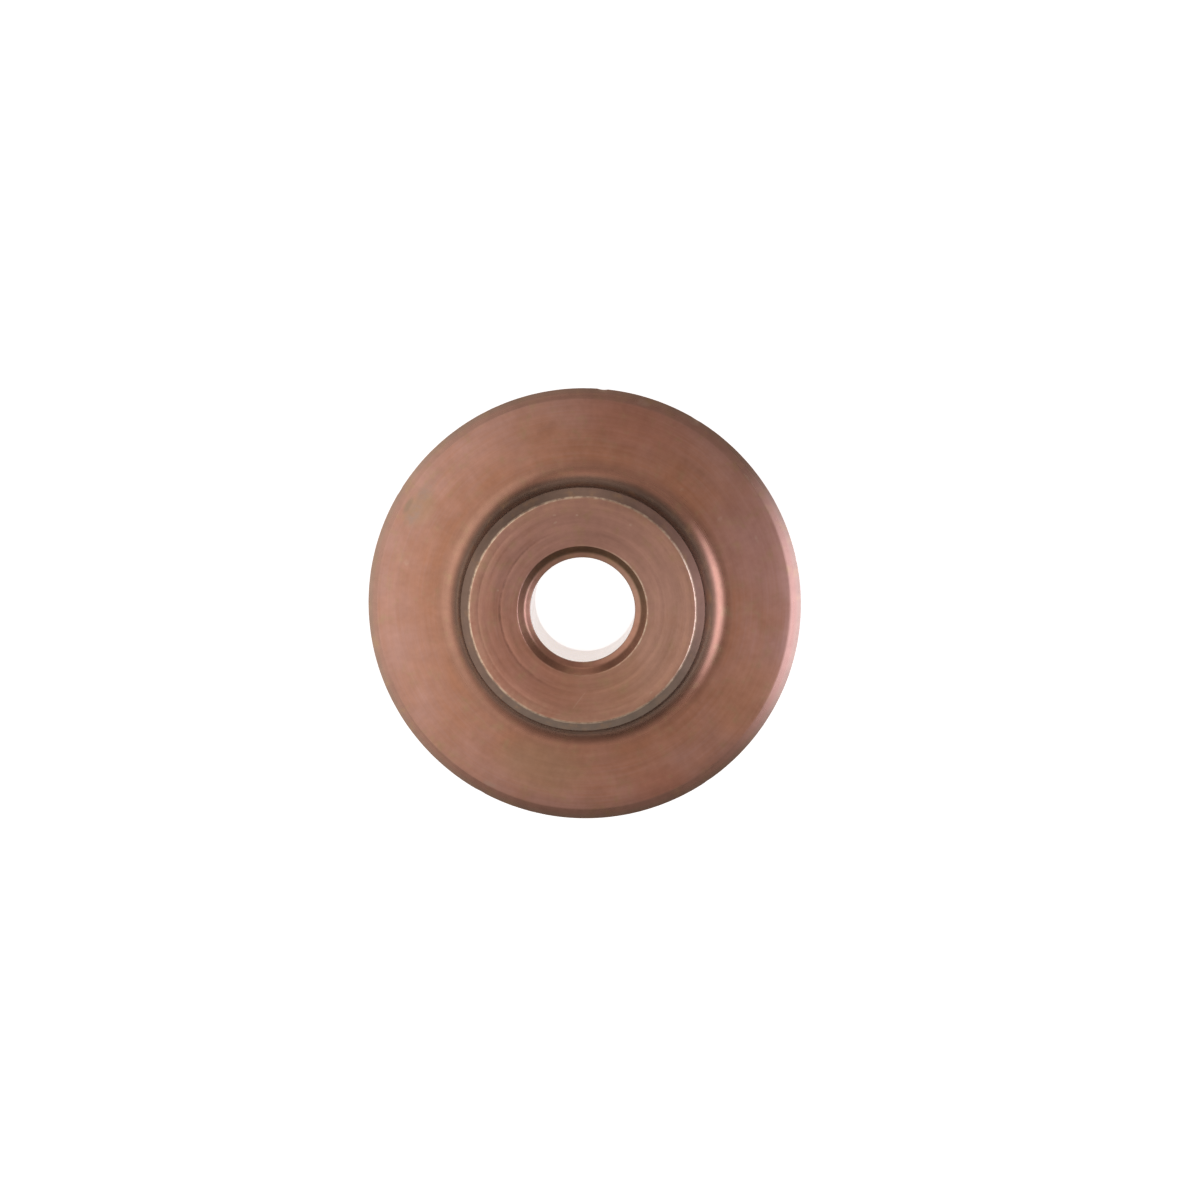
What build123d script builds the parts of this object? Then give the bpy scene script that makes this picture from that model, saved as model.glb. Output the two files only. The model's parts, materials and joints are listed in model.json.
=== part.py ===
from build123d import *

import os
from math import cos, radians, tan

# A pipe cutter wheel, all sizes in millimetres and all angles in degrees.
#
# The wheel is turned from one bar of tool steel: a thin disc with a sharp rim stands between
# two short hubs, and a plain bore runs through both for the pin that the wheel turns on. Each
# end of the bore opens in two steps, a shallow lip and then a bevel. The wheel is the same on
# both sides of its middle plane. It lies on the face of its lower hub, with its axis along +Z
# and the origin on that face, in the middle of the bore.

# The disc and its cutting rim
wheel_diameter = 34.0
edge_land = 0.10        # the blunt left on the cutting edge, along the axis
bevel_width = 0.80      # how far the ground bevel reaches in from the cutting edge
bevel_angle = 20.0      # slope of the bevel, from the wheel's middle plane
web_angle = 6.0         # slope of the disc between the bevel and the hub
root_radius = 2.05      # hollow corner where the disc runs up into the hub

# The two hubs
hub_diameter = 18.9
hub_width = 8.2         # over both hub faces
hub_chamfer = 0.72      # leg of the 45 degree bevel around each hub face
hub_edge_radius = 0.18  # rounding of the edge between a hub face and its bevel

# The bore and the pin that it runs on
pin_diameter = 8.0
pin_clearance = 0.10    # on the diameter, so that the wheel spins freely
lip_width = 0.44        # how far the shallow lip reaches out from the bore at each end
lip_angle = 15.0        # slope of the lip, from the hub face
lip_edge_radius = 0.10  # rounding of the edge between the lip and the bore
lip_root_radius = 0.50  # hollow corner between the lip and the bevel
mouth_chamfer = 0.52    # leg of the 45 degree bevel between the lip and the hub face
mouth_edge_radius = 0.10

# The share of a straight wall that a rounding may take up at most
wall_share = 0.98

rim_radius = wheel_diameter / 2
hub_radius = hub_diameter / 2
half_width = hub_width / 2
bore_radius = (pin_diameter + pin_clearance) / 2
lip_radius = bore_radius + lip_width
mouth_radius = lip_radius + mouth_chamfer
lip_top_height = half_width - mouth_chamfer
lip_foot_height = lip_top_height - lip_width * tan(radians(lip_angle))
bevel_foot_radius = rim_radius - bevel_width
bevel_foot_height = edge_land / 2 + bevel_width * tan(radians(bevel_angle))
root_height = bevel_foot_height + (bevel_foot_radius - hub_radius) * tan(radians(web_angle))


def both_sides(radius, height):
    """The same corner of the section above and below the wheel's middle plane.

    Heights come in from the middle plane and go out from the lower hub face."""
    return [(radius, half_width + height), (radius, half_width - height)]


def corners_at(section, places):
    """The corners of the section that lie at these places."""
    return [section.vertices().sort_by_distance(place)[0] for place in places]


def rounding(wanted, straight_length, turn):
    """The wanted radius, or the largest that this straight length has room for."""
    return min(wanted, wall_share * straight_length / tan(radians(turn) / 2))


def sharp_section():
    """The section with every corner still sharp, as the turning tool roughs it out."""
    upper_and_lower = [
        both_sides(bore_radius, lip_foot_height),
        both_sides(lip_radius, lip_top_height),
        both_sides(mouth_radius, half_width),
        both_sides(hub_radius, half_width),
        both_sides(hub_radius, root_height),
        both_sides(bevel_foot_radius, bevel_foot_height),
        both_sides(rim_radius, edge_land / 2),
    ]
    upper = [pair[0] for pair in upper_and_lower]
    lower = [pair[1] for pair in reversed(upper_and_lower)]
    return make_face(Polyline(*upper, *lower, close=True))


def finished_section():
    """The section with the bevels, the hollow roots and the rounded edges."""
    section = sharp_section()
    section = chamfer(corners_at(section, both_sides(hub_radius, half_width)), hub_chamfer)

    hub_wall = half_width - hub_chamfer - root_height
    root = rounding(root_radius, hub_wall, 90 - web_angle)
    section = fillet(corners_at(section, both_sides(hub_radius, root_height)), root)

    hub_edges = both_sides(hub_radius - hub_chamfer, half_width)
    section = fillet(corners_at(section, hub_edges), hub_edge_radius)
    section = fillet(corners_at(section, both_sides(mouth_radius, half_width)), mouth_edge_radius)

    half_lip = lip_width / cos(radians(lip_angle)) / 2
    half_bevel = mouth_chamfer / cos(radians(45)) / 2
    lip_root = rounding(lip_root_radius, min(half_lip, half_bevel), 45 - lip_angle)
    section = fillet(corners_at(section, both_sides(lip_radius, lip_top_height)), lip_root)
    lip_edge = rounding(lip_edge_radius, half_lip, 90 - lip_angle)
    return fillet(corners_at(section, both_sides(bore_radius, lip_foot_height)), lip_edge)


def cutter_wheel():
    """The whole wheel, spun from its section about the axis of the bore."""
    return revolve(Plane.XZ * finished_section(), Axis.Z)


wheel = cutter_wheel()
print("wheel volume, mm3:", round(wheel.volume, 3))
print("wheel size, mm:", wheel.bounding_box().size)

os.makedirs("parts", exist_ok=True)
export_step(wheel, "parts/cutter_wheel.step")
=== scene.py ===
# %% [markdown]
# A pipe cutter wheel, from frame to picture
#
# The real wheel is one piece of hardened steel: a thin disc with a ground cutting rim, a hub
# on each side and a bore for the pin that it spins on. Its size and place come from the frame,
# which is loaded first and never changed. This lesson adds what a camera sees on top of it: a
# finer mesh with the marks of the lathe, the brown skin of tempered steel, its wear, and light.

# %% Load the frame
import json
import math
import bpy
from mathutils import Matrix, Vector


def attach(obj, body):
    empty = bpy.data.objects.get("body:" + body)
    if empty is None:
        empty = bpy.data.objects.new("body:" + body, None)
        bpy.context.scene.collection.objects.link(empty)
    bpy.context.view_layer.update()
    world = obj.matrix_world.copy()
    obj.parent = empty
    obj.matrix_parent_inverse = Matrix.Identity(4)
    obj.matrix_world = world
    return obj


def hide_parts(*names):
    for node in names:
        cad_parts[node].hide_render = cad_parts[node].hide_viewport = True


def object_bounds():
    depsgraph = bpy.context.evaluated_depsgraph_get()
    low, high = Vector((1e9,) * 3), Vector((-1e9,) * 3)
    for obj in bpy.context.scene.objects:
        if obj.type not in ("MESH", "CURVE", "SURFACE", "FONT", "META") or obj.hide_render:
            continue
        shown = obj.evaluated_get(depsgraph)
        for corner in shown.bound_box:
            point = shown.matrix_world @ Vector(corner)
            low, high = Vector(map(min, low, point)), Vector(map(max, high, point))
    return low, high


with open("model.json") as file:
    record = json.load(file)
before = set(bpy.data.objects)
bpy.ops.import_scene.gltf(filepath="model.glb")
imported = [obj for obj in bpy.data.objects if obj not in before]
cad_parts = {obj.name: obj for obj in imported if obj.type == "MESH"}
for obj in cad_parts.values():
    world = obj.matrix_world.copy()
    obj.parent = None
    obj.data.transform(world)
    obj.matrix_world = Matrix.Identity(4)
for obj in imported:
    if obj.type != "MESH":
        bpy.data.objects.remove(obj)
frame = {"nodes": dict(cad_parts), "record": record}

from types import SimpleNamespace

import bmesh
import bpy
from mathutils import Quaternion, Vector, noise

MM = 0.001
scene = bpy.context.scene
cad_low, cad_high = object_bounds()
mounts = {mount["name"]: mount for mount in frame["record"]["mounts"]}
print("frame:", list(frame["nodes"]), "box in mm:", [round(v / MM, 2) for v in (*cad_low, *cad_high)])

# %% [markdown]
# The sizes that the picture needs
#
# Three sizes can be read from the frame: how far the rim reaches, how wide the hub is and how
# wide the bore is. The others are the sizes that the turned part was drawn with, now in metres,
# because a Blender scene is in metres. Each end of the bore opens in two steps: a shallow lip,
# such as the point of a larger drill leaves, and then a bevel out to the hub's face.

# %% Sizes of the wheel
rim_radius = cad_high.x
half_width = (cad_high.z - cad_low.z) / 2
mid_height = (cad_high.z + cad_low.z) / 2
bore_radius = mounts["bore"]["dims"]["r_mm"] * MM

edge_land = 0.10 * MM
bevel_width = 0.80 * MM
bevel_slope = math.radians(20)
web_slope = math.radians(6)
root_radius = 2.05 * MM
hub_radius = 9.45 * MM
hub_chamfer = 0.72 * MM
hub_edge_radius = 0.18 * MM
lip_width = 0.44 * MM
lip_slope = math.radians(15)
lip_edge_radius = 0.10 * MM
lip_root_radius = 0.50 * MM
mouth_chamfer = 0.52 * MM
mouth_edge_radius = 0.10 * MM

bevel_foot = rim_radius - bevel_width
bevel_foot_height = edge_land / 2 + bevel_width * math.tan(bevel_slope)
root_height = bevel_foot_height + (bevel_foot - hub_radius) * math.tan(web_slope)
face_edge = hub_radius - hub_chamfer
lip_radius = bore_radius + lip_width
lip_top_height = half_width - mouth_chamfer
lip_foot_height = lip_top_height - lip_width * math.tan(lip_slope)
mouth_radius = lip_radius + mouth_chamfer
print("rim radius, mm:", round(rim_radius / MM, 3), "half the hub's width:", round(half_width / MM, 3))

# %% [markdown]
# The lines that the facing tool left
#
# A tool that faces a hub on a lathe leaves fine rings, and where it paused it cuts a little
# deeper. Those deeper rings catch the light as soft arcs, so they are real grooves here, about
# a hundredth of a millimetre deep, and not only a bump in the material.

# %% Grooves in the hub face
tool_pauses = [  # radius, half its breadth, depth
    (6.33 * MM, 0.17 * MM, 0.012 * MM),
    (7.45 * MM, 0.20 * MM, 0.004 * MM),
    (8.05 * MM, 0.14 * MM, 0.008 * MM),
]
groove_shares = (-1, -0.5, 0, 0.5, 1)


def face_groove(radius, half_breadth, depth):
    """The points of one shallow, rounded groove in the hub face."""
    points = []
    for share in groove_shares:
        sunk = depth * math.cos(share * math.pi / 2) ** 2
        points.append((radius + share * half_breadth, half_width - sunk, 0.0))
    return points


grooves = [point for pause in tool_pauses for point in face_groove(*pause)]
print("grooves in the hub face:", len(tool_pauses))

# %% [markdown]
# The section, drawn as a lathe hand would
#
# A turned part is one outline spun about an axis. The outline here is a list of corners from
# the middle of the bore out to the cutting edge, each with the radius that rounds it. A corner
# with no radius stays crisp. The ground bevel's inner edge turns by only 14 degrees, and use has
# softened it, so it gets a rounding that the drawing leaves out.

# %% Corners of the section
bevel_foot_rounding = 0.6 * MM
fewest_steps = 4
turn_step = math.radians(5)
spacing = 0.32 * MM
half_section = [
    (bore_radius, 0.0, 0.0),
    (bore_radius, lip_foot_height, lip_edge_radius),
    (lip_radius, lip_top_height, lip_root_radius),
    (mouth_radius, half_width, mouth_edge_radius),
    *grooves,
    (face_edge, half_width, hub_edge_radius),
    (hub_radius, half_width - hub_chamfer, 0.0),
    (hub_radius, root_height, root_radius),
    (bevel_foot, bevel_foot_height, bevel_foot_rounding),
    (rim_radius, edge_land / 2, 0.0),
]


def round_corner(before, corner, after, radius, step):
    """Points along the arc that rounds one corner, about a step of turn apart."""
    here = Vector(corner)
    back = (Vector(before) - here).normalized()
    ahead = (Vector(after) - here).normalized()
    half_angle = back.angle(ahead) / 2
    middle = here + (back + ahead).normalized() * (radius / math.sin(half_angle))
    start = here + back * (radius / math.tan(half_angle)) - middle
    end = here + ahead * (radius / math.tan(half_angle)) - middle
    turn = start.angle(end)
    count = max(fewest_steps, round(turn / step))
    points = []
    for i in range(count + 1):
        share = i / count
        spoke = math.sin((1 - share) * turn) * start + math.sin(share * turn) * end
        points.append(middle + spoke / math.sin(turn))
    return points


def fill_straight(points, step):
    """Adds points on each long straight run, about a step apart."""
    filled = [points[0]]
    for a, b in zip(points, points[1:]):
        count = max(1, round((b - a).length / step))
        filled += [a.lerp(b, i / count) for i in range(1, count + 1)]
    return filled


def trace_section(corners):
    """The outline of half the section, rounded and evenly filled."""
    flat = [corner[:2] for corner in corners]
    points = [Vector(flat[0])]
    for i in range(1, len(corners) - 1):
        radius = corners[i][2]
        if radius > 0:
            points += round_corner(flat[i - 1], flat[i], flat[i + 1], radius, turn_step)
        else:
            points.append(Vector(flat[i]))
    points.append(Vector(flat[-1]))
    return fill_straight(points, spacing)


upper_half = trace_section(half_section)
print("points in half the section:", len(upper_half))

# %% [markdown]
# A disc that is slightly crowned
#
# Light runs over the real disc as if it were very slightly rounded: it is flatter near the hub
# and falls away more towards the bevel. A grinding wheel leaves such a crown. It is 0.05 mm
# high, so it is put on the straight run as a parabola, which is close enough to an arc.

# %% Crown the disc
crown = 0.047 * MM
web_start = hub_radius + root_radius


def crowned(point):
    """The point raised by the crown, if it lies on the disc between root and bevel."""
    share = (point.x - web_start) / (bevel_foot - web_start)
    raised = 4 * crown * share * (1 - share) if 0 < share < 1 else 0.0
    return Vector((point.x, point.y + raised))


upper_half = [crowned(point) for point in upper_half]
lower_half = [Vector((point.x, -point.y)) for point in reversed(upper_half)]
section = upper_half + lower_half[:-1]
print("rings around the wheel:", len(section))

# %% [markdown]
# Knocks on the rim and wear on the hub's edge
#
# The rim is hard and thin, so it chips where it hits something. Each nick bites in from the
# cutting edge and dies out across the bevel. The hub's edge rubs in the cutter's slot instead,
# which leaves it a little uneven. The grooves in its face are shallower on one side, because
# the bar ran a little out of true in the chuck, and the bevel is wider on one side, because it
# was ground in another setting. All of these are a matter of moving points, so one function says
# where a point of the section ends up at each angle.

# %% Nicks and wear
rim_nicks = [  # azimuth in degrees, half its length along the rim, depth
    (85, 0.42 * MM, 0.060 * MM),
    (59, 0.38 * MM, 0.018 * MM),
    (12, 0.30 * MM, 0.015 * MM),
    (148, 0.35 * MM, 0.020 * MM),
    (241, 0.45 * MM, 0.025 * MM),
    (305, 0.35 * MM, 0.015 * MM),
]
nick_reach = 0.40 * MM
rim_unevenness = 0.006 * MM
edge_unevenness = 0.016 * MM
edge_reach = 0.20 * MM
groove_limit = 0.02 * MM
runout = 0.65
runout_azimuth = math.radians(20)
bevel_runout = 0.06 * MM
bevel_runout_reach = 0.50 * MM
rim_ripple = (30, 1)  # detail around the turn, layer of the noise
edge_ripple = (14, 2)


def around(azimuth, detail, layer):
    """Smooth noise from -1 to 1 that closes on itself after one turn."""
    return noise.noise(Vector((detail * math.cos(azimuth), detail * math.sin(azimuth), layer)))


def bite(radius, azimuth):
    """How far the nicks pull in a point of the rim."""
    depth = rim_unevenness * (1 + around(azimuth, *rim_ripple))
    for nick_azimuth, half_length, nick_depth in rim_nicks:
        swing = math.remainder(azimuth - math.radians(nick_azimuth), 2 * math.pi)
        share = abs(swing) * radius / half_length
        if share < 1:
            depth += nick_depth * (1 - share**2)
    return depth * max(0.0, 1 - (rim_radius - radius) / nick_reach)


def worn_place(radius, height, azimuth):
    """Where wear and knocks leave a point of the section."""
    radius -= bite(radius, azimuth)
    near_foot = max(0.0, 1 - abs(radius - bevel_foot) / bevel_runout_reach)
    radius -= bevel_runout * near_foot * math.cos(azimuth)
    sunk = half_width - abs(height)
    if sunk < groove_limit and radius < face_edge - edge_reach:
        shallower = sunk * runout * (1 + math.cos(azimuth - runout_azimuth)) / 2
        height += math.copysign(shallower, height)
    off_edge = math.hypot(radius - face_edge, half_width - abs(height))
    if off_edge < edge_reach:
        rub = edge_unevenness * (1 - off_edge / edge_reach) * abs(around(azimuth, *edge_ripple))
        radius -= rub
        height -= math.copysign(rub, height)
    return Vector((radius * math.cos(azimuth), radius * math.sin(azimuth), mid_height + height))


deepest = max(bite(rim_radius, math.radians(degree)) for degree in range(360))
print("deepest bite in the rim, mm:", round(deepest / MM, 3))

# %% [markdown]
# Spinning the section into a mesh
#
# Blender's Screw modifier can spin an outline, but it leaves no say over single points. Here
# the rings are made in mesh code, so that wear can move each point. Every ring has a point at
# the same angles, so the faces are plain quads. The angles are closer together at a nick,
# where an even spacing would step over it.

# %% The turned mesh
even_steps = 360
nick_steps = 6
sharp_turn = math.radians(9)
decimals = 4


def spin_angles():
    """Even angles for the whole turn, and closer ones at each nick."""
    angles = {round(360 * i / even_steps, decimals) for i in range(even_steps)}
    for azimuth, half_length, _ in rim_nicks:
        half_swing = math.degrees(half_length / rim_radius)
        for i in range(nick_steps + 1):
            angles.add(round((azimuth + half_swing * (2 * i / nick_steps - 1)) % 360, decimals))
    return [math.radians(angle) for angle in sorted(angles)]


def spin(name, outline, angles):
    """A closed mesh from an outline of (radius, height) points, spun about Z."""
    bm = bmesh.new()
    rings = []
    for point in outline:
        rings.append([bm.verts.new(worn_place(point.x, point.y, angle)) for angle in angles])
    for ring, following in zip(rings, rings[1:] + rings[:1]):
        for i in range(len(angles)):
            j = (i + 1) % len(angles)
            bm.faces.new((ring[i], ring[j], following[j], following[i]))
    bmesh.ops.recalc_face_normals(bm, faces=bm.faces)
    mesh = bpy.data.meshes.new(name)
    bm.to_mesh(mesh)
    bm.free()
    mesh.shade_smooth()
    mesh.set_sharp_from_angle(angle=sharp_turn)
    piece = bpy.data.objects.new(name, mesh)
    scene.collection.objects.link(piece)
    return piece


wheel = spin("turned_wheel", section, spin_angles())
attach(wheel, "root")
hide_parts("cutter_wheel")
print("triangles:", 2 * len(wheel.data.polygons))

# %% [markdown]
# Shader maths that reads like Python
#
# A material is a chain of nodes. This small class wraps one socket, so that a sum on sockets
# adds the Math nodes for it, and add() makes any other node.

# %% A wrapper for sockets
class Wire:
    """One value in a material. Sums on wires add Math nodes, and add() makes any other node."""

    def __init__(self, tree, socket=None):
        self.tree = tree
        self.socket = socket

    def add(self, kind, settings=None, inputs=None, output=0):
        """Makes a node, sets it up, plugs in its values or wires, and returns one output."""
        node = self.tree.nodes.new(kind)
        for name, value in (settings or {}).items():
            setattr(node, name, value)
        for name, value in (inputs or {}).items():
            if isinstance(value, Wire):
                self.tree.links.new(value.socket, node.inputs[name])
            else:
                node.inputs[name].default_value = value
        return Wire(self.tree, node.outputs[output]) if node.outputs else None

    def other(self, name):
        """Another output of the node that this wire comes from."""
        return Wire(self.tree, self.socket.node.outputs[name])

    def maths(self, operation, *values):
        """One Math node on these values or wires."""
        return self.add("ShaderNodeMath", {"operation": operation}, dict(enumerate(values)))

    def __add__(self, number):
        return self.maths("ADD", self, number)

    __radd__ = __add__

    def __sub__(self, number):
        return self.maths("SUBTRACT", self, number)

    def __rsub__(self, number):
        return self.maths("SUBTRACT", number, self)

    def __mul__(self, number):
        return self.maths("MULTIPLY", self, number)

    __rmul__ = __mul__

    def __truediv__(self, number):
        return self.maths("DIVIDE", self, number)

    def __pow__(self, number):
        return self.maths("POWER", self, number)

    def __abs__(self):
        return self.maths("ABSOLUTE", self)


def new_material(name):
    """An empty node material and a wire to build it with."""
    material = bpy.data.materials.new(name)
    material.use_nodes = True
    material.node_tree.nodes.clear()
    return material, Wire(material.node_tree)


operators = [name.strip("_") for name, part in vars(Wire).items() if callable(part) and "__" in name]
print("a wire understands:", [name for name in operators if name != "init"])

# %% [markdown]
# Masks and mixes
#
# A turned part is easy to describe by two numbers: how far a point is from the axis and how
# high it lies. A mask is a soft step on one of them. It is 1 where a finish is and 0 where it
# isn't, and masks are multiplied where both must hold.

# %% Helpers for masks
def rise(value, low, high):
    """0 below low, 1 above high, and a smooth rise between."""
    settings = {"interpolation_type": "SMOOTHSTEP", "clamp": True}
    return value.add("ShaderNodeMapRange", settings, {"Value": value, "From Min": low, "From Max": high})


def band(value, middle, half_breadth):
    """1 at the middle, fading to 0 at half a breadth to each side."""
    return 1 - rise(abs(value - middle), 0.0, half_breadth)


def either(first, second):
    """The larger of two masks."""
    return first.maths("MAXIMUM", first, second)


def blend_colour(mask, first, second):
    """The first colour where the mask is 0, the second where it is 1."""
    inputs = {"Factor": mask, 6: first, 7: second}
    return mask.add("ShaderNodeMix", {"data_type": "RGBA"}, inputs, output=2)


def dim(colour, strength):
    """A colour made lighter or darker by a wire."""
    return colour.add("ShaderNodeVectorMath", {"operation": "SCALE"}, {0: colour, "Scale": strength})


def cloud(place, scale, detail=2.0, roughness=0.5):
    """Soft noise about 0.5."""
    inputs = {"Vector": place, "Scale": scale, "Detail": detail, "Roughness": roughness}
    return place.add("ShaderNodeTexNoise", None, inputs)


def at(wire, x, y, z):
    """A place from three wires or numbers."""
    return wire.add("ShaderNodeCombineXYZ", None, {"X": x, "Y": y, "Z": z})


print("helpers:", [helper.__name__ for helper in (rise, band, either, blend_colour, dim, cloud, at)])

# %% [markdown]
# Marks of handling
#
# A wheel that has been handled carries a few marks: a grey film where the brown skin was
# rubbed, pale specks where it was hit, thin scratches and a dark stain. They lie on the face
# that is up. They could be painted on an image, but ovals need no image and stay sharp at any
# size. Each oval has a place, two half sizes and a turn, with its lengths in millimetres.

# %% The marks
grey_films = [  # x, y, half length, half breadth, turn in degrees
    (-12.3, 9.0, 1.30, 0.70, 52),
    (-13.3, 7.2, 1.40, 0.70, 62),
    (-7.5, -14.2, 0.75, 0.28, -28),
    (4.6, 15.85, 0.75, 0.30, -16),
    (8.6, 14.35, 0.55, 0.30, -31),
]
pale_specks = [
    (1.45, 16.80, 0.42, 0.16, -5),
    (8.75, 14.45, 0.34, 0.16, -31),
    (-13.9, 3.4, 0.34, 0.26, 70),
    (10.6, 6.8, 0.36, 0.24, 40),
    (7.65, 9.1, 0.26, 0.18, 20),
    (13.5, 5.25, 0.42, 0.18, 110),
    (-2.12, 7.38, 0.17, 0.12, 0),
    (-2.06, 6.80, 0.20, 0.10, 30),
    (-0.39, 7.38, 0.14, 0.10, 0),
    (3.74, 6.65, 0.17, 0.15, 0),
    (-6.50, 1.56, 0.12, 0.10, 0),
    (5.30, -6.35, 0.20, 0.10, 45),
]
scratches = [
    (12.85, 9.90, 0.75, 0.09, -52),
    (-0.27, -7.00, 1.10, 0.07, 53),
]
dark_stain = [(-13.75, 7.86, 0.95, 0.30, 60)]


def marks(place, ovals):
    """A mask of ovals, each fading out from its middle to its edge."""
    mask = None
    for oval_x, oval_y, half_length, half_breadth, turn in ovals:
        cosine = math.cos(math.radians(turn))
        sine = math.sin(math.radians(turn))
        along = ((place.x - oval_x) * cosine + (place.y - oval_y) * sine) / half_length
        across = ((place.y - oval_y) * cosine - (place.x - oval_x) * sine) / half_breadth
        spot = 1 - rise(along * along + across * across, 0.0, 1.0)
        mask = spot if mask is None else either(mask, spot)
    return mask


print("marks:", len(grey_films), "films,", len(pale_specks), "specks,", len(scratches), "scratches")

# %% [markdown]
# Where a point lies
#
# Everything on a turned part is told by how far a point is from the axis, how high it is above
# the middle plane and which way it lies. Its way is given as east and north, both from -1 to
# 1, so that a tint can lean to one side. Lengths in the material are in millimetres.

# %% Places on the wheel
upper_step = (0.0, 0.05)


def find_place(wire):
    """Where a point of the wheel is, and which way it lies from the axis."""
    object_place = wire.add("ShaderNodeTexCoord", output="Object")
    metres = object_place.add("ShaderNodeSeparateXYZ", None, {0: object_place})
    x = metres * (1 / MM)
    y = metres.other("Y") * (1 / MM)
    z = (metres.other("Z") - mid_height) * (1 / MM)
    r = (x * x + y * y) ** 0.5
    upper = rise(z, *upper_step)
    return SimpleNamespace(x=x, y=y, z=z, r=r, east=x / r, north=y / r, height=abs(z), upper=upper)


def towards(place, azimuth, half_angle):
    """1 towards an azimuth, fading to 0 at half an angle to each side, all in degrees."""
    facing = place.east * math.cos(math.radians(azimuth)) + place.north * math.sin(math.radians(azimuth))
    return rise(facing, math.cos(math.radians(half_angle)), 1.0)


def leant(place, level, northward, eastward):
    """A level that grows to the north and to the east by these amounts."""
    return level + place.north * northward + place.east * eastward


def sides(place, tones):
    """The sum of tones that lie each to one side: azimuth, half angle, tone."""
    return sum(towards(place, azimuth, half_angle) * tone for azimuth, half_angle, tone in tones)


print("the mask of the upper side rises from", upper_step[0], "to", upper_step[1], "mm above the middle")

# %% [markdown]
# Seven kinds of unevenness
#
# Lathe rings are noise that is drawn out around the axis: it changes slowly with the angle and
# quickly across the rings. Strokes are the other way round. The other four are plain clouds,
# from broad patches to fine grain. One noise alone would look like marble, and a picture of
# steel would repeat, so each is made here and used faintly.

# %% Noise in the steel
ring_kinds = {  # around the axis, across the rings, detail, roughness
    "rings": (2.4, 5.5, 3.0, 0.6),
    "broad_rings": (1.1, 1.4, 3.0, 0.5),
}
cloud_kinds = {  # fineness, detail, roughness
    "patches": (0.33, 3.0, 0.55),
    "grain": (2.6, 2.0, 0.5),
    "wear": (1.7, 4.0, 0.7),
}
tarnish_kind = (0.9, 4.0, 0.65)
strokes_around = 9
strokes_out = 0.6
strokes_up = 0.3
strokes_detail = 4.0
strokes_roughness = 0.6


def ring_cloud(place, around, across, detail, roughness):
    """Noise drawn out around the axis. What runs across the rings is a wire."""
    on_rings = at(place.r, place.east * around, place.north * around, across)
    return cloud(on_rings, 1.0, detail, roughness)


def grow_noise(place):
    """Every kind of noise that the colours and the gloss are made with."""
    noises = SimpleNamespace()
    for name, (around, across, detail, roughness) in ring_kinds.items():
        setattr(noises, name, ring_cloud(place, around, (place.r - place.z) * across, detail, roughness))
    for name, (fineness, detail, roughness) in cloud_kinds.items():
        setattr(noises, name, cloud(at(place.r, place.x, place.y, place.z), fineness, detail, roughness))
    along_strokes = place.r * strokes_out + place.z * strokes_up
    noises.strokes = ring_cloud(place, strokes_around, along_strokes, strokes_detail, strokes_roughness)
    noises.tarnish = cloud(at(place.r, place.y, place.x, place.z), *tarnish_kind)
    return noises


def sway(noise_wire, strength=1.0):
    """Noise that goes from below 0 to above 0, by its strength."""
    return (noise_wire - 0.5) * strength


print("kinds of noise:", [*ring_kinds, *cloud_kinds, "strokes", "tarnish"])

# %% [markdown]
# Where each surface is
#
# Each surface of the wheel has a tone of its own. The skin grows thicker on thin places and wears
# off proud ones, and the hollow root is painted darker, which is painted shade. A zone is a mask
# between two steps. The steps are soft, so that two tones meet without a line, and they could be
# read from the section, but some reach past a corner to follow the skin and not the shape.

# %% Zones of the wheel
bore_step = (4.06, 4.10)  # radii, from and to
lip_step = (4.40, 4.55)
mouth_step = (4.94, 5.01)
chamfer_step = (8.70, 8.80)
root_step = (9.2, 9.4)
wall_step = (9.65, 9.90)
corner_step = (9.85, 10.60)
root_end_step = (10.7, 11.8)
bevel_step = (16.08, 16.30)
bevel_shift = 0.06
rim_step = (16.45, 16.90)
chamfer_foot_step = (3.33, 3.40)  # heights above the middle plane, from and to
wall_top_step = (3.34, 3.40)
face_step = (3.99, 4.04)
corner_calm = 0.75


def find_zones(place):
    """A mask for each surface of the wheel."""
    below_wall_top = 1 - rise(place.height, *wall_top_step)
    root = rise(place.r, *root_step) * (1 - rise(place.r, *root_end_step)) * below_wall_top
    corner = root * (1 - rise(place.r, *corner_step))
    return SimpleNamespace(
        face=rise(place.height, *face_step),
        chamfer=rise(place.r, *chamfer_step) * rise(place.height, *chamfer_foot_step),
        root=root,
        corner=corner,
        calm=1 - corner * corner_calm,
        wall=corner * (1 - rise(place.r, *wall_step)),
        bevel=rise(place.r + place.east * bevel_shift, *bevel_step),
        rim=rise(place.r, *rim_step),
        mouth=1 - rise(place.r, *mouth_step),
        lip=1 - rise(place.r, *lip_step),
        bore=1 - rise(place.r, *bore_step),
    )


print("the hub face reaches from", mouth_step[1], "to", chamfer_step[0], "mm from the axis")

# %% [markdown]
# The brown skin of tempered steel
#
# Steel that is tempered in air takes a skin of oxide, thin enough that its colour comes from
# interference. It is copper brown with a mauve cast where it is a little thicker, and the oven
# was hotter on some parts than on others, which leaves broad, faint tints on both sides of the
# thin disc. A real film could be worked out with optics, but few colours mixed by masks can be
# matched to a real wheel one at a time.

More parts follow.
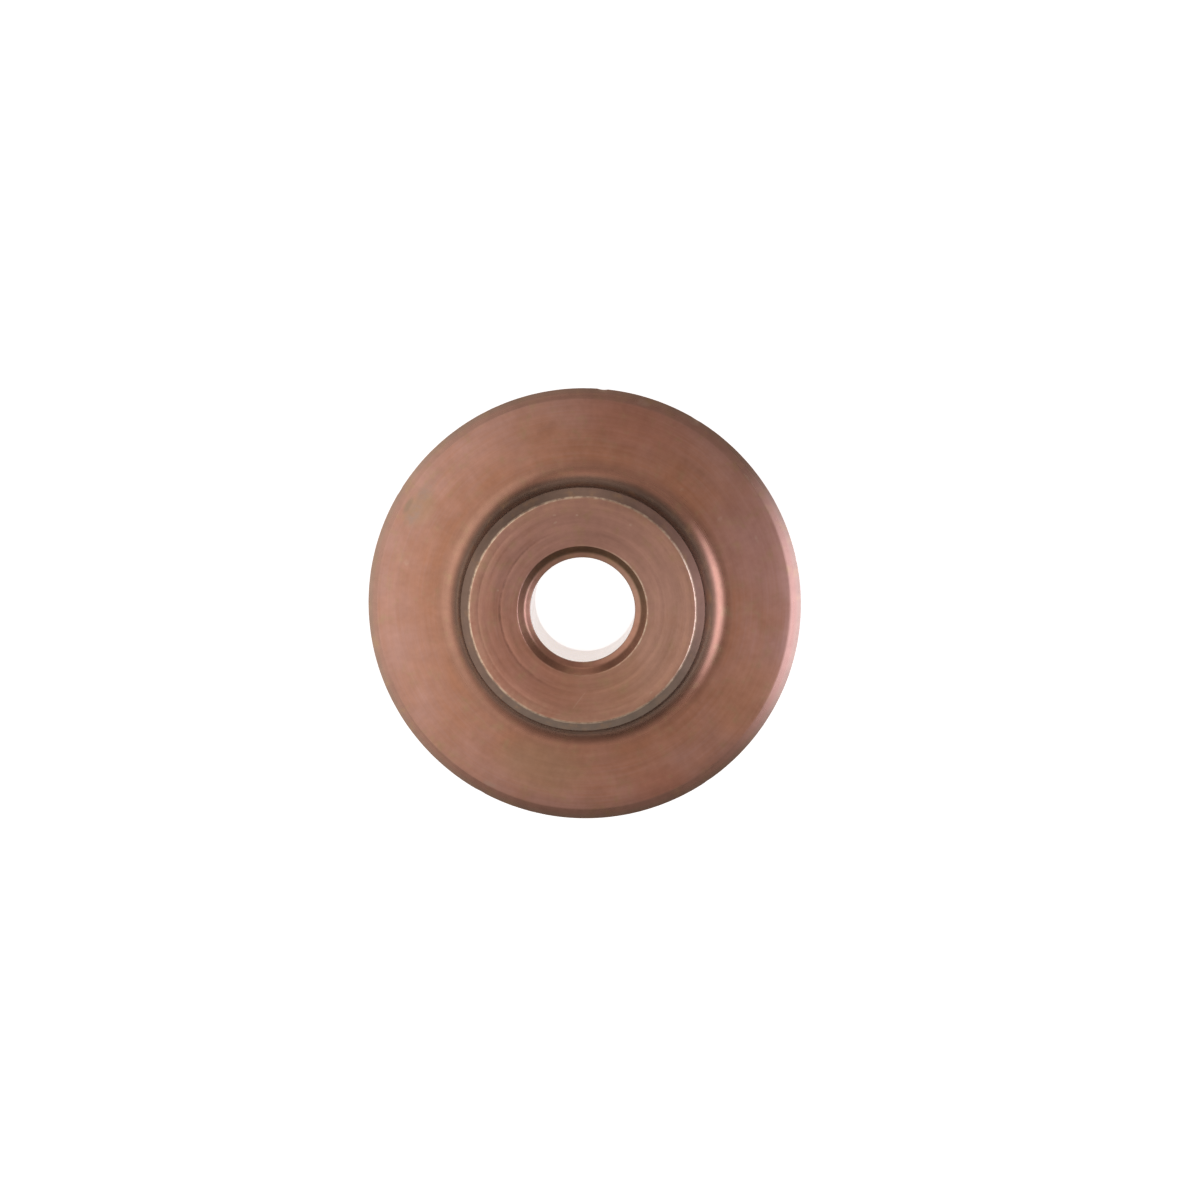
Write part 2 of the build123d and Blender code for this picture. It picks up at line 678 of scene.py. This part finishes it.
# %% Skin of the disc and the hub faces
copper_brown = (0.330, 0.136, 0.079, 1)
mauve_brown = (0.320, 0.153, 0.113, 1)
mauve_tint = (0.335, 0.158, 0.122, 1)
red_tint = (0.300, 0.112, 0.070, 1)
amber_tint = (0.365, 0.155, 0.085, 1)
olive_tint = (0.290, 0.150, 0.088, 1)
heat_tints = [  # colour, strength, ovals
    (mauve_tint, 0.6, [(12.70, 5.13, 5.4, 3.8, 112)]),
    (red_tint, 0.5, [(3.83, 14.30, 5.8, 3.0, -15), (5.77, -14.28, 3.4, 1.8, 22)]),
    (amber_tint, 0.6, [(12.90, -7.45, 5.0, 3.2, 60)]),
    (olive_tint, 0.7, [(-3.36, -12.56, 4.6, 2.7, -15), (-12.77, 7.67, 2.0, 1.4, 59)]),
]
even_cast = 0.5
cast_middle = 13.8
cast_outwards = 0.16
cast_patches = 1.6
cast_rings = 0.9
face_cast = (0.40, 0.35, 0.22)
face_tinge = (0.34, -0.2, 0.0)


def disc_skin(place, noises, zone):
    """The skin of the disc and the hub faces, with its cast and its heat tints."""
    cast = even_cast + (place.r - cast_middle) * cast_outwards * (1 - zone.face)
    cast = cast + sway(noises.patches, cast_patches) + sway(noises.rings, cast_rings) * zone.calm
    cast = cast + zone.face * leant(place, *face_cast)
    skin = blend_colour(cast, copper_brown, mauve_brown)
    for tint, strength, ovals in heat_tints:
        skin = blend_colour(marks(place, ovals) * strength, skin, tint)
    face_tint = blend_colour(rise(place.east, -1.0, 1.0), red_tint, olive_tint)
    return blend_colour(zone.face * leant(place, *face_tinge), skin, face_tint)


print("heat tints:", len(heat_tints))

# %% [markdown]
# The corner's painted shade
#
# The hollow root is painted darker than the disc, and its corner darker still. This is painted
# shade, standing in for the shade and the dark reflections in the hollow, and it goes on up the
# wall of the hub. The corner and the wall are painted lighter and greyer to the south, and the
# wall also where the strip card is reflected, which is painted light. Towards the window the root
# is painted a darker copper, a painted shade that dims its highlight. One mask laid over another
# lets the tone deepen in steps, from the root to its corner and then to the wall.

# %% Skin of the root and the wall
root_shade_brown = (0.285, 0.128, 0.084, 1)
root_dimmed_copper = (0.250, 0.106, 0.066, 1)
corner_shade_brown = (0.150, 0.092, 0.067, 1)
corner_lit_grey = (0.320, 0.228, 0.170, 1)
wall_grey = (0.205, 0.148, 0.113, 1)
wall_lit_olive = (0.198, 0.158, 0.123, 1)
# The root is painted a darker copper towards the window, which dims its highlight, and the wall is painted
# lighter where the strip card is reflected: both are painted light and shade.
dimmed_highlight_side = (-5, 60)  # azimuth, half angle
light_side = (92, 32)
light_side_strength = 0.8
far_lean = (0.0, -1.0, -0.35)
far_step = (-0.6, 0.3)
grey_corner_step = (9.80, 10.05)


def root_painted_shade(place, zone, skin):
    """Painted shade and light in the hollow root, its corner and the hub's wall, over the disc's skin."""
    far_side = rise(leant(place, *far_lean), *far_step)
    grey_corner = far_side * (1 - rise(place.r, *grey_corner_step))
    light_wall = either(far_side, towards(place, *light_side) * light_side_strength)
    root_colour = blend_colour(towards(place, *dimmed_highlight_side), root_shade_brown, root_dimmed_copper)
    corner_colour = blend_colour(grey_corner, corner_shade_brown, corner_lit_grey)
    skin = blend_colour(zone.root, skin, root_colour)
    skin = blend_colour(zone.corner, skin, corner_colour)
    return blend_colour(zone.wall, skin, blend_colour(light_wall, wall_grey, wall_lit_olive))


print("the corner is", round(root_shade_brown[0] / corner_shade_brown[0], 1), "times darker than the root")

# %% [markdown]
# The bevels and the bore
#
# The rim's bevel was ground before the steel was tempered, so it has the skin too, a little
# greyer. The bevels of the hub and of the mouth were cut with other tools and took other
# browns. Last comes the bore, which was honed after tempering: its skin is gone, and it is
# bright. Each is laid over what came before, so the order of the lines matters here.

# %% Skin of the bevels, the mouth and the bore
bevel_brown = (0.272, 0.132, 0.094, 1)
rim_grey = (0.245, 0.138, 0.098, 1)
tan_brown = (0.350, 0.170, 0.112, 1)
chamfer_grey = (0.183, 0.114, 0.084, 1)
chamfer_rose = (0.225, 0.121, 0.094, 1)
chamfer_olive = (0.170, 0.120, 0.090, 1)
mouth_olive = (0.212, 0.126, 0.077, 1)
mouth_copper = (0.238, 0.108, 0.069, 1)
lip_copper = (0.268, 0.116, 0.076, 1)
lip_brown = (0.256, 0.129, 0.087, 1)
olive_brown = (0.285, 0.160, 0.085, 1)
bore_steel = (0.650, 0.540, 0.480, 1)
face_rim_step = (7.2, 8.7)
tan_step = (0.30, 0.60)
rose_step = (-0.2, 1.0)
olive_side = (285, 80)
mouth_lean = (0.0, 1.0, 0.3)
mouth_lean_step = (-0.3, 0.9)
tarnish_step = (0.50, 0.80)
tarnish_strength = 0.7


def edge_skin(place, noises, zone, skin):
    """The skin of the rim, the bevels, the mouth and the bore, laid over the rest."""
    face_rim = rise(place.r, *face_rim_step) * zone.face * rise(noises.tarnish, *tan_step)
    rosy = rise(place.east + sway(noises.patches), *rose_step)
    chamfer_colour = blend_colour(rosy, chamfer_grey, chamfer_rose)
    chamfer_colour = blend_colour(towards(place, *olive_side), chamfer_colour, chamfer_olive)
    olive_mouth = rise(leant(place, *mouth_lean), *mouth_lean_step)
    skin = blend_colour(zone.bevel, skin, bevel_brown)
    skin = blend_colour(zone.rim, skin, rim_grey)
    skin = blend_colour(face_rim, skin, tan_brown)
    skin = blend_colour(zone.chamfer, skin, chamfer_colour)
    skin = blend_colour(zone.mouth, skin, blend_colour(olive_mouth, mouth_copper, mouth_olive))
    skin = blend_colour(zone.lip, skin, blend_colour(olive_mouth, lip_copper, lip_brown))
    skin = blend_colour(rise(noises.tarnish, *tarnish_step) * tarnish_strength, skin, olive_brown)
    return blend_colour(zone.bore, skin, bore_steel)


print("the bore is", round(bore_steel[0] / copper_brown[0], 1), "times brighter than the skin")

# %% [markdown]
# Painted light and shade in the skin
#
# Each surface is a little lighter on one side than on the other. On the hub face, the bevel, the
# chamfer, the mouth and the ring at the foot of the hub's wall this is painted light and shade,
# where the cards' highlights and the dark of the room fall on the metal. Near the rim and on the
# inner disc some stretches are only darker, and the rings, strokes and patches show as uneven
# tone. All of that is one number, the shade: 0 leaves the colour as it is, and 0.1 makes it a
# tenth lighter. Sums of small tones are easier to tune than a stack of mixes.

# %% The shade
ring_shade = (0.12, 0.04)  # everywhere, and more on the hub face
broad_ring_shade = (0.23, 0.34)
patch_shade = 0.24
grain_shade = 0.16
stroke_shade = 0.34
stroke_corner_calm = 0.7
face_east_step = (-0.2, 1.0)
face_east_shade = 0.13
face_west_step = (0.0, 0.9)
face_inside_step = (6.9, 7.9)
face_west_shade = 0.12
face_north_shade = 0.05
outer_step = (15.0, 16.2)
# Near the rim the stretches are only darker. The bevel's tone is a painted highlight towards the window,
# the deep ring's and the chamfer's are painted shade, and the mouth's are painted light and shade.
outer_tones = [(280, 60, -0.20), (60, 35, -0.08)]  # azimuth, half angle, shade
bevel_highlight_tones = [(-5, 45, 0.12)]
deep_step = (9.60, 9.85)
deep_end_step = (9.95, 10.30)
deep_shade_tones = [(47, 34, -0.22), (133, 28, -0.22)]
chamfer_shade_tones = [(133, 28, -0.24), (35, 25, -0.14)]
mouth_light_tones = [(272, 50, 0.22), (92, 45, 0.12), (190, 35, -0.12)]
inner_disc_step = (11.4, 13.0)
inner_disc_shade = 0.04
heel_middle = 11.2
heel_breadth = 0.6
heel_step = (0.3, 0.9)
heel_shade = 0.13
bore_calm = 0.7


def face_painted_light(place, zone):
    """Painted light and shade on the hub face: lighter east, duller west by the hole, darker north."""
    dull_west = rise(place.east * -1, *face_west_step) * (1 - rise(place.r, *face_inside_step))
    shade = rise(place.east, *face_east_step) * face_east_shade - dull_west * face_west_shade
    return zone.face * (shade - place.north * face_north_shade)


def side_painted_light_and_tone(place, zone):
    """Painted light and shade on the root, bevel, chamfer and mouth, and darker stretches elsewhere."""
    deep = rise(place.r, *deep_step) * (1 - rise(place.r, *deep_end_step)) * (1 - zone.face)
    # The heel is partly a stain and partly painted shade that trims the root's highlight east and west.
    heel = band(place.r, heel_middle, heel_breadth) * rise(abs(place.east), *heel_step)
    inner_disc = (1 - zone.root) * (1 - rise(place.r, *inner_disc_step)) * (1 - zone.face)
    shade = rise(place.r, *outer_step) * sides(place, outer_tones) + zone.bevel * sides(place, bevel_highlight_tones)
    shade = shade + deep * sides(place, deep_shade_tones) + zone.chamfer * sides(place, chamfer_shade_tones)
    shade = shade + zone.mouth * (1 - zone.lip) * sides(place, mouth_light_tones)
    return shade - inner_disc * inner_disc_shade - heel * heel_shade


def noise_shade(noises, zone):
    """The rings, patches, grain and strokes as light and dark."""
    ring_level, ring_on_face = ring_shade
    broad_level, broad_on_face = broad_ring_shade
    shade = sway(noises.rings) * zone.calm * (ring_level + zone.face * ring_on_face)
    shade = shade + sway(noises.broad_rings) * (broad_level + zone.face * broad_on_face)
    shade = shade + sway(noises.patches, patch_shade) + sway(noises.grain, grain_shade)
    return shade + sway(noises.strokes, stroke_shade) * (1 - zone.face - zone.corner * stroke_corner_calm)


def whole_shade(place, noises, zone):
    """All light and dark together, calmer in the honed bore."""
    shade = face_painted_light(place, zone) + side_painted_light_and_tone(place, zone) + noise_shade(noises, zone)
    return shade * (1 - zone.bore * bore_calm)


print("darker stretches of the rim and the root:", len(outer_tones) + len(deep_shade_tones))

# %% [markdown]
# Wear
#
# A hub's edge rubs bright in the cutter's slot, and so does the edge of the hole against the
# pin's shoulder, but only in stretches. The tool's pause near the hole has held some dirt. The
# marks of handling come on top. All of these are masks between the skin and a colour below or
# above it, and the noise called wear breaks them up, because nothing wears evenly.

# %% Worn edges and marks
film_grey = (0.280, 0.163, 0.120, 1)
stain_brown = (0.170, 0.115, 0.075, 1)
bare_steel = (0.520, 0.360, 0.250, 1)
hub_edge_line = (8.76, 0.14)  # radius, half breadth
hub_edge_step = (3.92, 4.00)
hub_edge_wear = 0.9
mouth_edge_line = (5.04, 0.10)
mouth_edge_step = (3.95, 4.03)
mouth_edge_wear = 0.12
mouth_edge_tones = [(5, 80, 0.75)]
least_wear = 0.18
wear_step = (0.38, 0.62)
dirt_line = (6.36, 0.16)
dirt_sway = 0.3
dirt_west_step = (0.15, 0.90)
dirt_step = (0.35, 0.60)
dirt_strength = 0.26
stain_strength = 0.5
film_step = (0.25, 0.70)
film_strength = 0.9
speck_strength = (0.14, 0.11)  # everywhere, and more on the hub face
scratch_strength = 0.14
grain_step = (0.2, 0.6)


def worn_edges(place, noises):
    """Where the edges of the hub and of the hole are rubbed bright."""
    hub_line = band(place.r, *hub_edge_line) * rise(place.height, *hub_edge_step) * hub_edge_wear
    mouth_line = band(place.r, *mouth_edge_line) * rise(place.height, *mouth_edge_step)
    mouth_line = mouth_line * (mouth_edge_wear + sides(place, mouth_edge_tones))
    return either(hub_line, mouth_line) * (least_wear + rise(noises.wear, *wear_step) * (1 - least_wear))


def groove_dirt(place, noises, zone):
    """The dark of the dirt in a groove of the hub face."""
    radius, half_breadth = dirt_line
    line = band(place.r + sway(noises.patches, dirt_sway), radius, half_breadth)
    west = rise(place.east * -1, *dirt_west_step)
    return line * zone.face * west * rise(noises.tarnish, *dirt_step) * dirt_strength


def grey_film(place, noises):
    """Where a grey film lies on the skin."""
    return marks(place, grey_films) * place.upper * rise(noises.wear, *film_step)


def marked_skin(place, noises, zone, film, skin):
    """The skin with the stain, the films, the specks, the scratches and the worn edges."""
    speck_level, speck_on_face = speck_strength
    specks = marks(place, pale_specks) * (speck_level + zone.face * speck_on_face)
    bare = either(specks, marks(place, scratches) * scratch_strength)
    bare = bare * place.upper * rise(noises.grain, *grain_step)
    skin = blend_colour(marks(place, dark_stain) * place.upper * stain_strength, skin, stain_brown)
    skin = blend_colour(film * film_strength, skin, film_grey)
    return blend_colour(either(bare, worn_edges(place, noises)), skin, bare_steel)


print("worn lines at", hub_edge_line[0], "and", mouth_edge_line[0], "mm from the axis")

# %% [markdown]
# The steel
#
# Below the skin is turned steel, whose fine rings spread a highlight across them and not along
# them. A mesh of such rings would be far too fine, so the shader is a metal with anisotropy,
# turned by a quarter to run across the rings, and a faint bump breaks up its highlights. The
# roughness changes a little with the rings, and the honed bore is the smoothest.

# %% The whole material
even_matte = 0.300
ring_matte = 0.06
patch_matte = 0.05
bevel_gloss = 0.02
bore_gloss = 0.14
root_gloss = 0.03
film_matte = 0.04
ring_relief = 0.7
grain_relief = 0.3
relief_depth = 0.006 * MM
relief_strength = 0.5
spread = 0.56
quarter_turn = 0.25


def steel_matte(noises, zone, film):
    """How rough the steel is."""
    matte = even_matte + sway(noises.rings, ring_matte) * zone.calm + sway(noises.patches, patch_matte)
    matte = matte - zone.bevel * bevel_gloss - zone.bore * bore_gloss - zone.root * root_gloss
    return matte + film * film_matte


def bronzed_steel():
    """Turned steel under a brown skin, with its wear."""
    material, wire = new_material("bronzed_steel")
    place = find_place(wire)
    noises = grow_noise(place)
    zone = find_zones(place)
    skin = disc_skin(place, noises, zone)
    skin = root_painted_shade(place, zone, skin)
    skin = edge_skin(place, noises, zone, skin)
    skin = dim(skin, 1 + whole_shade(place, noises, zone) - groove_dirt(place, noises, zone))
    film = grey_film(place, noises)
    skin = marked_skin(place, noises, zone, film, skin)
    lines = (sway(noises.rings, ring_relief) + sway(noises.grain, grain_relief)) * zone.calm
    bump = {"Strength": relief_strength, "Distance": relief_depth, "Height": lines}
    surface = {
        "Base Color": skin,
        "Metallic": 1.0,
        "Roughness": steel_matte(noises, zone, film),
        "Anisotropic": spread,
        "Anisotropic Rotation": quarter_turn,
        "Normal": wire.add("ShaderNodeBump", None, bump),
    }
    shader = wire.add("ShaderNodeBsdfPrincipled", None, surface)
    wire.add("ShaderNodeOutputMaterial", None, {"Surface": shader})
    return material


wheel.data.materials.append(bronzed_steel())
print("nodes in the steel:", len(wheel.data.materials[0].node_tree.nodes))

# %% [markdown]
# The camera
#
# The wheel lies flat and the camera looks down on it, leaning about six degrees from upright.
# A wheel in a round lens needs only three facts: how far away the camera is, how large the rim
# shows, and where the middle falls. The lens follows from the first two.

# %% Place the camera
picture_size = 1200
rim_in_picture = 216.4
sensor = 36.0
camera_distance = 212.5 * MM
nearest_seen = 10 * MM
lean = math.radians(6.34)
lean_azimuth = math.radians(73.3)
aim_right = 1.241 * MM
aim_up = 0.391 * MM

camera_data = bpy.data.cameras.new("camera")
camera_data.sensor_width = sensor
camera_data.lens = sensor * rim_in_picture * camera_distance / rim_radius / picture_size
camera_data.clip_start = nearest_seen
camera = bpy.data.objects.new("camera", camera_data)
scene.collection.objects.link(camera)
scene.camera = camera
turn = Quaternion((-math.sin(lean_azimuth), math.cos(lean_azimuth), 0), lean)
right, up, back = (turn @ Vector(axis) for axis in ((1, 0, 0), (0, 1, 0), (0, 0, 1)))
camera.rotation_mode = "QUATERNION"
camera.rotation_quaternion = turn
camera.location = Vector((0, 0, mid_height)) + right * aim_right + up * aim_up + back * camera_distance
print("lens, mm:", round(camera_data.lens, 1))

# %% [markdown]
# A white room
#
# The wheel stands in front of plain white. The world is white for rays that are seen, which
# are those of the camera and those that metal reflects. Rays that only light the floor find a
# weaker world, so that the floor isn't flooded and the wheel keeps its shadow.

# %% The world
floor_light = 0.5


def seen_rays(wire):
    """1 for rays from the camera, off gloss or through glass, and 0 for all others."""
    path = wire.add("ShaderNodeLightPath", output="Is Camera Ray")
    return either(either(path, path.other("Is Glossy Ray")), path.other("Is Transmission Ray"))


world = bpy.data.worlds.new("white_room")
scene.world = world
world.use_nodes = True
world.node_tree.nodes.clear()
wire = Wire(world.node_tree)
white = wire.add("ShaderNodeBackground", None, {"Color": (1, 1, 1, 1), "Strength": 1.0})
soft = wire.add("ShaderNodeBackground", None, {"Color": (1, 1, 1, 1), "Strength": floor_light})
room = wire.add("ShaderNodeMixShader", None, {0: seen_rays(wire), 1: soft, 2: white})
wire.add("ShaderNodeOutputWorld", None, {"Surface": room})
print("world for unseen rays:", floor_light)

# %% [markdown]
# What the metal reflects
#
# A metal shows its surroundings, so polished parts are lit with cards: bright ones for the
# highlights and grey ones that give the dark side its shape. Each card here is a flat sheet
# that glows evenly in the middle and turns sheer towards its edges, so no hard edge shows in
# the metal. Cards are seen only in reflections. Azimuth 0 is +X, and zenith 0 is overhead.

# %% Cards around the wheel
roundness = 3
plain_white = (1, 1, 1)
cool_white = (0.83, 0.95, 1.0)
daylight = (0.60, 0.735, 1.0)
cards = [  # name, azimuth, zenith, distance, half angles, share that glows evenly, glow, colour
    ("window", -7.0, 51.0, 0.50, (32, 23), 0.28, 6.9, daylight),
    ("left_card", 178, 37, 0.56, (44.5, 39), 0.23, 2.28, cool_white),
    ("front_card", 283, 80, 0.70, (63.5, 51), 0.0, 0.22, plain_white),
    ("back_card", 82.5, 35, 0.80, (65, 60), 0.9, 0.62, plain_white),
    ("low_card", 86, 78, 0.70, (58, 24), 0.3, 0.35, plain_white),
    ("strip_card", 92, 68, 0.60, (27, 24), 0.1, 1.25, plain_white),
]


def card(name, azimuth, zenith, distance, half_angles, core, glow, colour):
    """A glowing sheet that faces the wheel. Its half angles are how large the wheel sees it."""
    around_z = math.radians(azimuth)
    down = math.radians(zenith)
    out = Vector((math.cos(around_z) * math.sin(down), math.sin(around_z) * math.sin(down), math.cos(down)))
    sideways = Vector((-math.sin(around_z), math.cos(around_z), 0))
    upward = out.cross(sideways)
    across, tall = (distance * math.tan(math.radians(angle)) for angle in half_angles)

    material, wire = new_material(name)
    place = wire.add("ShaderNodeTexCoord", output="UV")
    flat = place.add("ShaderNodeSeparateXYZ", None, {0: place})
    from_middle_x = abs(flat * 2 - 1)
    from_middle_y = abs(flat.other("Y") * 2 - 1)
    off_middle = (from_middle_x**roundness + from_middle_y**roundness) ** (1 / roundness)
    sheer = wire.add("ShaderNodeBsdfTransparent")
    lit = wire.add("ShaderNodeEmission", None, {"Color": (*colour, 1), "Strength": glow})
    paint = wire.add("ShaderNodeMixShader", None, {0: rise(off_middle, core, 1.0), 1: lit, 2: sheer})
    wire.add("ShaderNodeOutputMaterial", None, {"Surface": paint})

    mesh = bpy.data.meshes.new(name)
    corners = [(-1, -1), (1, -1), (1, 1), (-1, 1)]
    places = [out * distance + sideways * (across * s) + upward * (tall * t) for s, t in corners]
    mesh.from_pydata(places, [], [(0, 1, 2, 3)])
    layer = mesh.uv_layers.new(name="flat")
    for loop, (s, t) in zip(layer.data, corners):
        loop.uv = ((s + 1) / 2, (t + 1) / 2)
    mesh.materials.append(material)
    panel = bpy.data.objects.new(name, mesh)
    scene.collection.objects.link(panel)
    panel.visible_camera = False
    panel.visible_diffuse = False
    panel.visible_shadow = False


for row in cards:
    card(*row)
print("cards:", [row[0] for row in cards])

# %% [markdown]
# The floor
#
# The wheel lies on white paper. The paper glows a little for rays that are seen, so that it
# comes out white without more light on the wheel, and where the wheel shades it the glow alone
# is left, which is the soft shadow.

# %% White paper
floor_reach = 2.0
floor_drop = 0.02 * MM
paper_white = 0.8
paper_glow = 0.84

floor_mesh = bpy.data.meshes.new("floor")
floor_corners = [(-floor_reach, -floor_reach, -floor_drop), (floor_reach, -floor_reach, -floor_drop),
                 (floor_reach, floor_reach, -floor_drop), (-floor_reach, floor_reach, -floor_drop)]
floor_mesh.from_pydata(floor_corners, [], [(0, 1, 2, 3)])
floor = bpy.data.objects.new("floor", floor_mesh)
scene.collection.objects.link(floor)

floor_material, wire = new_material("white_paper")
paper = wire.add("ShaderNodeBsdfDiffuse", None, {"Color": (paper_white, paper_white, paper_white, 1)})
glow = wire.add("ShaderNodeEmission", None, {"Color": (1, 1, 1, 1), "Strength": paper_glow})
glowing = wire.add("ShaderNodeAddShader", None, {0: paper, 1: glow})
surface = wire.add("ShaderNodeMixShader", None, {0: seen_rays(wire), 1: paper, 2: glowing})
wire.add("ShaderNodeOutputMaterial", None, {"Surface": surface})
floor_mesh.materials.append(floor_material)
print("floor:", floor_reach * 2, "m across")

# %% [markdown]
# Finish
#
# Colours are shown as they are, with no film look.

# %% Finish
scene.view_settings.view_transform = "Standard"
